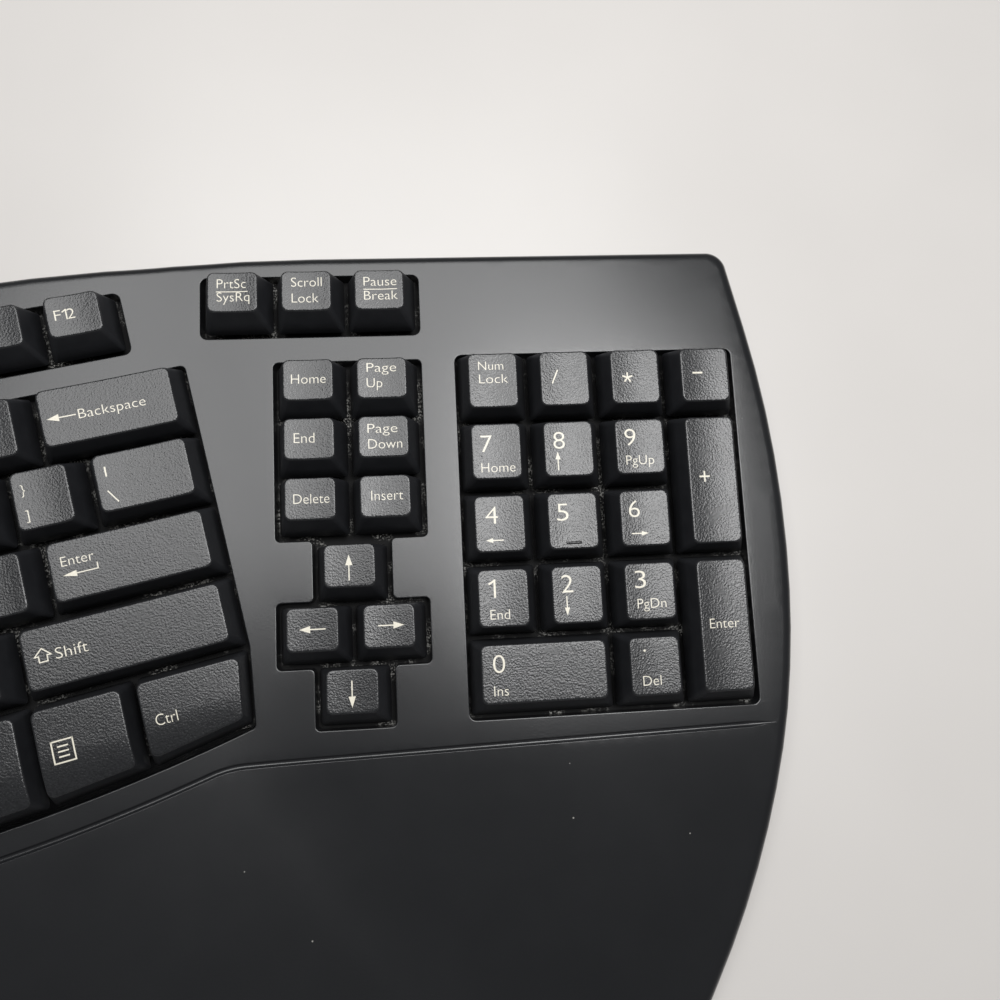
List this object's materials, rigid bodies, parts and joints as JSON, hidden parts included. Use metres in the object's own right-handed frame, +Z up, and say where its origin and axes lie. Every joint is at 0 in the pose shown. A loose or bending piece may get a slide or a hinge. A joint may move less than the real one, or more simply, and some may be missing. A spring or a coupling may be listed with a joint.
{
  "type": "ergonomic split keyboard",
  "caption": "Black split keyboard with two tented, turned hand blocks, a bowed space bar, navigation keys, a keypad and a palm rest; every key slides down on a spring.",
  "frame": {"origin": "on the table under the middle of the case's outline", "axes": "+X to the right along the keypad rows, +Y to the rear, +Z up from the table"},
  "size_m": [0.4822, 0.2338, 0.0444],
  "materials": {
    "case_plastic": "fine matte grain, charcoal black",
    "key_plastic": "fine matte grain with pale printed legends",
    "frame_plastic": "black moulded",
    "silicone_rubber": "soft grey",
    "clear_film": "printed film",
    "circuit_board": "green lacquer",
    "lens_plastic": "milky clear",
    "soft_rubber": "black soft rubber",
    "screw_steel": "zinc plated"
  },
  "bodies": {
    "case": {"upper_case": "case_plastic", "lower_case": "case_plastic", "key_frame": "frame_plastic", "dome_mat": "silicone_rubber", "contact_sheets": "clear_film", "controller_board": "circuit_board", "indicator_lenses": "lens_plastic", "cable_gland": "soft_rubber", "case_screws": "screw_steel", "rubber_feet": "soft_rubber"},
    "foot_right": {"tilt_foot_right": "case_plastic"},
    "foot_left": {"tilt_foot_left": "case_plastic"},
    "numpad_num_lock": {"numpad_num_lock_key": "key_plastic"},
    "numpad_divide": {"numpad_divide_key": "key_plastic"},
    "numpad_multiply": {"numpad_multiply_key": "key_plastic"},
    "numpad_minus": {"numpad_minus_key": "key_plastic"},
    "numpad_7": {"numpad_7_key": "key_plastic"},
    "numpad_8": {"numpad_8_key": "key_plastic"},
    "numpad_9": {"numpad_9_key": "key_plastic"},
    "numpad_plus": {"numpad_plus_key": "key_plastic"},
    "numpad_4": {"numpad_4_key": "key_plastic"},
    "numpad_5": {"numpad_5_key": "key_plastic"},
    "numpad_6": {"numpad_6_key": "key_plastic"},
    "numpad_1": {"numpad_1_key": "key_plastic"},
    "numpad_2": {"numpad_2_key": "key_plastic"},
    "numpad_3": {"numpad_3_key": "key_plastic"},
    "numpad_enter": {"numpad_enter_key": "key_plastic"},
    "numpad_0": {"numpad_0_key": "key_plastic"},
    "numpad_decimal": {"numpad_decimal_key": "key_plastic"},
    "print_screen": {"print_screen_key": "key_plastic"},
    "scroll_lock": {"scroll_lock_key": "key_plastic"},
    "pause": {"pause_key": "key_plastic"},
    "home": {"home_key": "key_plastic"},
    "page_up": {"page_up_key": "key_plastic"},
    "end": {"end_key": "key_plastic"},
    "page_down": {"page_down_key": "key_plastic"},
    "delete": {"delete_key": "key_plastic"},
    "insert": {"insert_key": "key_plastic"},
    "arrow_up": {"arrow_up_key": "key_plastic"},
    "arrow_left": {"arrow_left_key": "key_plastic"},
    "arrow_right": {"arrow_right_key": "key_plastic"},
    "arrow_down": {"arrow_down_key": "key_plastic"},
    "f12": {"f12_key": "key_plastic"},
    "backspace": {"backspace_key": "key_plastic"},
    "backslash": {"backslash_key": "key_plastic"},
    "bracket": {"bracket_key": "key_plastic"},
    "enter": {"enter_key": "key_plastic"},
    "right_shift": {"right_shift_key": "key_plastic"},
    "right_ctrl": {"right_ctrl_key": "key_plastic"},
    "menu": {"menu_key": "key_plastic"},
    "right_function_keys": {"right_function_keys": "key_plastic"},
    "right_number_keys": {"right_number_keys": "key_plastic"},
    "right_letter_keys": {"right_letter_keys": "key_plastic"},
    "right_modifier_keys": {"right_modifier_keys": "key_plastic"},
    "left_function_keys": {"left_function_keys": "key_plastic"},
    "left_number_keys": {"left_number_keys": "key_plastic"},
    "left_letter_keys": {"left_letter_keys": "key_plastic"},
    "left_modifier_keys": {"left_modifier_keys": "key_plastic"},
    "space_bar": {"space_bar": "key_plastic"}
  },
  "joints": [
    {"name": "numpad_num_lock_press", "type": "slide", "parent": "case", "child": "numpad_num_lock", "axis": [0, 0.0523, -0.9986], "range_m": [0, 0.0036], "stiffness_N_per_m": 100, "springref_m": -0.002, "deforming": ["dome_mat"]},
    {"name": "numpad_divide_press", "type": "slide", "parent": "case", "child": "numpad_divide", "axis": [0, 0.0523, -0.9986], "range_m": [0, 0.0036], "stiffness_N_per_m": 100, "springref_m": -0.002, "deforming": ["dome_mat"]},
    {"name": "numpad_multiply_press", "type": "slide", "parent": "case", "child": "numpad_multiply", "axis": [0, 0.0523, -0.9986], "range_m": [0, 0.0036], "stiffness_N_per_m": 100, "springref_m": -0.002, "deforming": ["dome_mat"]},
    {"name": "numpad_minus_press", "type": "slide", "parent": "case", "child": "numpad_minus", "axis": [0, 0.0523, -0.9986], "range_m": [0, 0.0036], "stiffness_N_per_m": 100, "springref_m": -0.002, "deforming": ["dome_mat"]},
    {"name": "numpad_7_press", "type": "slide", "parent": "case", "child": "numpad_7", "axis": [0, 0.0523, -0.9986], "range_m": [0, 0.0036], "stiffness_N_per_m": 100, "springref_m": -0.002, "deforming": ["dome_mat"]},
    {"name": "numpad_8_press", "type": "slide", "parent": "case", "child": "numpad_8", "axis": [0, 0.0523, -0.9986], "range_m": [0, 0.0036], "stiffness_N_per_m": 100, "springref_m": -0.002, "deforming": ["dome_mat"]},
    {"name": "numpad_9_press", "type": "slide", "parent": "case", "child": "numpad_9", "axis": [0, 0.0523, -0.9986], "range_m": [0, 0.0036], "stiffness_N_per_m": 100, "springref_m": -0.002, "deforming": ["dome_mat"]},
    {"name": "numpad_plus_press", "type": "slide", "parent": "case", "child": "numpad_plus", "axis": [0, 0.0523, -0.9986], "range_m": [0, 0.0036], "stiffness_N_per_m": 100, "springref_m": -0.002, "deforming": ["dome_mat"]},
    {"name": "numpad_4_press", "type": "slide", "parent": "case", "child": "numpad_4", "axis": [0, 0.0523, -0.9986], "range_m": [0, 0.0036], "stiffness_N_per_m": 100, "springref_m": -0.002, "deforming": ["dome_mat"]},
    {"name": "numpad_5_press", "type": "slide", "parent": "case", "child": "numpad_5", "axis": [0, 0.0523, -0.9986], "range_m": [0, 0.0036], "stiffness_N_per_m": 100, "springref_m": -0.002, "deforming": ["dome_mat"]},
    {"name": "numpad_6_press", "type": "slide", "parent": "case", "child": "numpad_6", "axis": [0, 0.0523, -0.9986], "range_m": [0, 0.0036], "stiffness_N_per_m": 100, "springref_m": -0.002, "deforming": ["dome_mat"]},
    {"name": "numpad_1_press", "type": "slide", "parent": "case", "child": "numpad_1", "axis": [0, 0.0523, -0.9986], "range_m": [0, 0.0036], "stiffness_N_per_m": 100, "springref_m": -0.002, "deforming": ["dome_mat"]},
    {"name": "numpad_2_press", "type": "slide", "parent": "case", "child": "numpad_2", "axis": [0, 0.0523, -0.9986], "range_m": [0, 0.0036], "stiffness_N_per_m": 100, "springref_m": -0.002, "deforming": ["dome_mat"]},
    {"name": "numpad_3_press", "type": "slide", "parent": "case", "child": "numpad_3", "axis": [0, 0.0523, -0.9986], "range_m": [0, 0.0036], "stiffness_N_per_m": 100, "springref_m": -0.002, "deforming": ["dome_mat"]},
    {"name": "numpad_enter_press", "type": "slide", "parent": "case", "child": "numpad_enter", "axis": [0, 0.0523, -0.9986], "range_m": [0, 0.0036], "stiffness_N_per_m": 100, "springref_m": -0.002, "deforming": ["dome_mat"]},
    {"name": "numpad_0_press", "type": "slide", "parent": "case", "child": "numpad_0", "axis": [0, 0.0523, -0.9986], "range_m": [0, 0.0036], "stiffness_N_per_m": 100, "springref_m": -0.002, "deforming": ["dome_mat"]},
    {"name": "numpad_decimal_press", "type": "slide", "parent": "case", "child": "numpad_decimal", "axis": [0, 0.0523, -0.9986], "range_m": [0, 0.0036], "stiffness_N_per_m": 100, "springref_m": -0.002, "deforming": ["dome_mat"]},
    {"name": "print_screen_press", "type": "slide", "parent": "case", "child": "print_screen", "axis": [0, 0.0523, -0.9986], "range_m": [0, 0.0036], "stiffness_N_per_m": 100, "springref_m": -0.002, "deforming": ["dome_mat"]},
    {"name": "scroll_lock_press", "type": "slide", "parent": "case", "child": "scroll_lock", "axis": [0, 0.0523, -0.9986], "range_m": [0, 0.0036], "stiffness_N_per_m": 100, "springref_m": -0.002, "deforming": ["dome_mat"]},
    {"name": "pause_press", "type": "slide", "parent": "case", "child": "pause", "axis": [0, 0.0523, -0.9986], "range_m": [0, 0.0036], "stiffness_N_per_m": 100, "springref_m": -0.002, "deforming": ["dome_mat"]},
    {"name": "home_press", "type": "slide", "parent": "case", "child": "home", "axis": [0, 0.0523, -0.9986], "range_m": [0, 0.0036], "stiffness_N_per_m": 100, "springref_m": -0.002, "deforming": ["dome_mat"]},
    {"name": "page_up_press", "type": "slide", "parent": "case", "child": "page_up", "axis": [0, 0.0523, -0.9986], "range_m": [0, 0.0036], "stiffness_N_per_m": 100, "springref_m": -0.002, "deforming": ["dome_mat"]},
    {"name": "end_press", "type": "slide", "parent": "case", "child": "end", "axis": [0, 0.0523, -0.9986], "range_m": [0, 0.0036], "stiffness_N_per_m": 100, "springref_m": -0.002, "deforming": ["dome_mat"]},
    {"name": "page_down_press", "type": "slide", "parent": "case", "child": "page_down", "axis": [0, 0.0523, -0.9986], "range_m": [0, 0.0036], "stiffness_N_per_m": 100, "springref_m": -0.002, "deforming": ["dome_mat"]},
    {"name": "delete_press", "type": "slide", "parent": "case", "child": "delete", "axis": [0, 0.0523, -0.9986], "range_m": [0, 0.0036], "stiffness_N_per_m": 100, "springref_m": -0.002, "deforming": ["dome_mat"]},
    {"name": "insert_press", "type": "slide", "parent": "case", "child": "insert", "axis": [0, 0.0523, -0.9986], "range_m": [0, 0.0036], "stiffness_N_per_m": 100, "springref_m": -0.002, "deforming": ["dome_mat"]},
    {"name": "arrow_up_press", "type": "slide", "parent": "case", "child": "arrow_up", "axis": [0, 0.0523, -0.9986], "range_m": [0, 0.0036], "stiffness_N_per_m": 100, "springref_m": -0.002, "deforming": ["dome_mat"]},
    {"name": "arrow_left_press", "type": "slide", "parent": "case", "child": "arrow_left", "axis": [0, 0.0523, -0.9986], "range_m": [0, 0.0036], "stiffness_N_per_m": 100, "springref_m": -0.002, "deforming": ["dome_mat"]},
    {"name": "arrow_right_press", "type": "slide", "parent": "case", "child": "arrow_right", "axis": [0, 0.0523, -0.9986], "range_m": [0, 0.0036], "stiffness_N_per_m": 100, "springref_m": -0.002, "deforming": ["dome_mat"]},
    {"name": "arrow_down_press", "type": "slide", "parent": "case", "child": "arrow_down", "axis": [0, 0.0523, -0.9986], "range_m": [0, 0.0036], "stiffness_N_per_m": 100, "springref_m": -0.002, "deforming": ["dome_mat"]},
    {"name": "f12_press", "type": "slide", "parent": "case", "child": "f12", "axis": [-0.1021, 0.0296, -0.9943], "range_m": [0, 0.0036], "stiffness_N_per_m": 100, "springref_m": -0.002, "deforming": ["dome_mat"]},
    {"name": "backspace_press", "type": "slide", "parent": "case", "child": "backspace", "axis": [-0.1021, 0.0296, -0.9943], "range_m": [0, 0.0036], "stiffness_N_per_m": 100, "springref_m": -0.002, "deforming": ["dome_mat"]},
    {"name": "backslash_press", "type": "slide", "parent": "case", "child": "backslash", "axis": [-0.1021, 0.0296, -0.9943], "range_m": [0, 0.0036], "stiffness_N_per_m": 100, "springref_m": -0.002, "deforming": ["dome_mat"]},
    {"name": "bracket_press", "type": "slide", "parent": "case", "child": "bracket", "axis": [-0.1021, 0.0296, -0.9943], "range_m": [0, 0.0036], "stiffness_N_per_m": 100, "springref_m": -0.002, "deforming": ["dome_mat"]},
    {"name": "enter_press", "type": "slide", "parent": "case", "child": "enter", "axis": [-0.1021, 0.0296, -0.9943], "range_m": [0, 0.0036], "stiffness_N_per_m": 100, "springref_m": -0.002, "deforming": ["dome_mat"]},
    {"name": "right_shift_press", "type": "slide", "parent": "case", "child": "right_shift", "axis": [-0.1021, 0.0296, -0.9943], "range_m": [0, 0.0036], "stiffness_N_per_m": 100, "springref_m": -0.002, "deforming": ["dome_mat"]},
    {"name": "right_ctrl_press", "type": "slide", "parent": "case", "child": "right_ctrl", "axis": [-0.1021, 0.0296, -0.9943], "range_m": [0, 0.0036], "stiffness_N_per_m": 100, "springref_m": -0.002, "deforming": ["dome_mat"]},
    {"name": "menu_press", "type": "slide", "parent": "case", "child": "menu", "axis": [-0.1021, 0.0296, -0.9943], "range_m": [0, 0.0036], "stiffness_N_per_m": 100, "springref_m": -0.002, "deforming": ["dome_mat"]},
    {"name": "right_function_keys_press", "type": "slide", "parent": "case", "child": "right_function_keys", "axis": [-0.1021, 0.0296, -0.9943], "range_m": [0, 0.0036], "stiffness_N_per_m": 600, "springref_m": -0.002, "deforming": ["dome_mat"]},
    {"name": "right_number_keys_press", "type": "slide", "parent": "case", "child": "right_number_keys", "axis": [-0.1021, 0.0296, -0.9943], "range_m": [0, 0.0036], "stiffness_N_per_m": 600, "springref_m": -0.002, "deforming": ["dome_mat"]},
    {"name": "right_letter_keys_press", "type": "slide", "parent": "case", "child": "right_letter_keys", "axis": [-0.1021, 0.0296, -0.9943], "range_m": [0, 0.0036], "stiffness_N_per_m": 1700, "springref_m": -0.002, "deforming": ["dome_mat"]},
    {"name": "right_modifier_keys_press", "type": "slide", "parent": "case", "child": "right_modifier_keys", "axis": [-0.1021, 0.0296, -0.9943], "range_m": [0, 0.0036], "stiffness_N_per_m": 200, "springref_m": -0.002, "deforming": ["dome_mat"]},
    {"name": "left_function_keys_press", "type": "slide", "parent": "case", "child": "left_function_keys", "axis": [0.1021, 0.0296, -0.9943], "range_m": [0, 0.0036], "stiffness_N_per_m": 600, "springref_m": -0.002, "deforming": ["dome_mat"]},
    {"name": "left_number_keys_press", "type": "slide", "parent": "case", "child": "left_number_keys", "axis": [0.1021, 0.0296, -0.9943], "range_m": [0, 0.0036], "stiffness_N_per_m": 700, "springref_m": -0.002, "deforming": ["dome_mat"]},
    {"name": "left_letter_keys_press", "type": "slide", "parent": "case", "child": "left_letter_keys", "axis": [0.1021, 0.0296, -0.9943], "range_m": [0, 0.0036], "stiffness_N_per_m": 1500, "springref_m": -0.002, "deforming": ["dome_mat"]},
    {"name": "left_modifier_keys_press", "type": "slide", "parent": "case", "child": "left_modifier_keys", "axis": [0.1021, 0.0296, -0.9943], "range_m": [0, 0.0036], "stiffness_N_per_m": 600, "springref_m": -0.002, "deforming": ["dome_mat"]},
    {"name": "space_bar_press", "type": "slide", "parent": "case", "child": "space_bar", "axis": [0, 0.0523, -0.9986], "range_m": [0, 0.0036], "stiffness_N_per_m": 160, "springref_m": -0.002, "deforming": ["dome_mat"]},
    {"name": "foot_right_fold", "type": "hinge", "parent": "case", "child": "foot_right", "pos_m": [0.19543, 0.10808, 0.0041], "axis": [1, 0, 0], "range_deg": [0, 95]},
    {"name": "foot_left_fold", "type": "hinge", "parent": "case", "child": "foot_left", "pos_m": [-0.17913, 0.09657, 0.0041], "axis": [1, 0, 0], "range_deg": [0, 95]}
  ]
}
